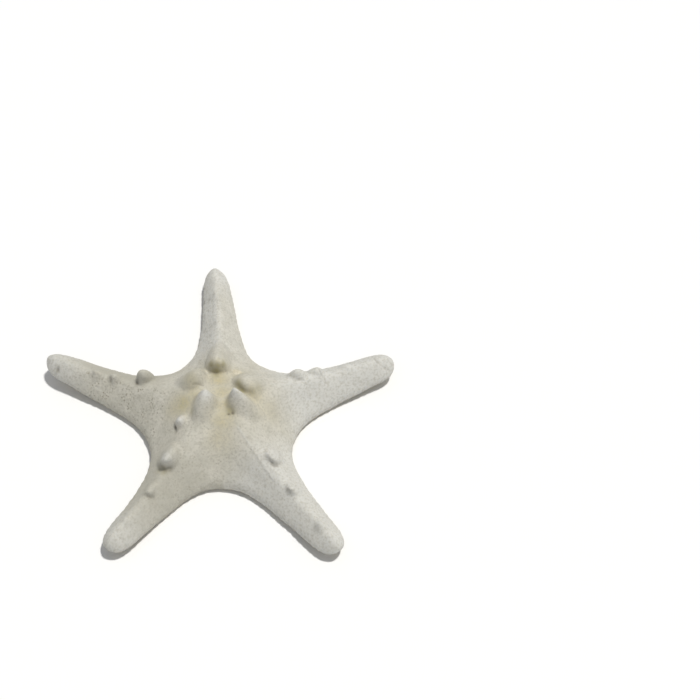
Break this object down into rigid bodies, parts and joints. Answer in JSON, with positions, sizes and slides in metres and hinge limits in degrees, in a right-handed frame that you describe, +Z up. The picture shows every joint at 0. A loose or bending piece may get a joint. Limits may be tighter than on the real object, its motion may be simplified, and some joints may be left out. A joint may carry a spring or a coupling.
{
  "type": "dried knobby starfish",
  "caption": "Dried, bleached knobby starfish lying flat, with blunt tapering arms round a raised disc, a crown of knobs, ridge knobs and grooved, spined undersides.",
  "frame": {"origin": "on the floor below the middle of the outline", "axes": "+X to the right and +Y away from someone who faces the two front arms, +Z up"},
  "size_m": [0.1374, 0.1292, 0.0315],
  "materials": {
    "disc": "dry bleached calcite skin, matt and finely pored, ochre in the hollows between the knobs",
    "arms": "dry bleached calcite skin, matt, granular and finely pored",
    "tips": "worn bleached calcite, smoother and whiter than the arms",
    "jaws": "dry cream calcite plates with short spines",
    "sieve_plate": "dry calcite with fine winding grooves"
  },
  "bodies": {
    "root": {"disc": "disc", "arm_right": "arms", "arm_back": "arms", "arm_left": "arms", "arm_front_left": "arms", "arm_front_right": "arms", "tip_right": "tips", "tip_back": "tips", "tip_left": "tips", "tip_front_left": "tips", "tip_front_right": "tips", "jaw_back_right": "jaws", "jaw_back_left": "jaws", "jaw_side_left": "jaws", "jaw_front": "jaws", "jaw_side_right": "jaws", "madreporite": "sieve_plate"}
  },
  "joints": []
}
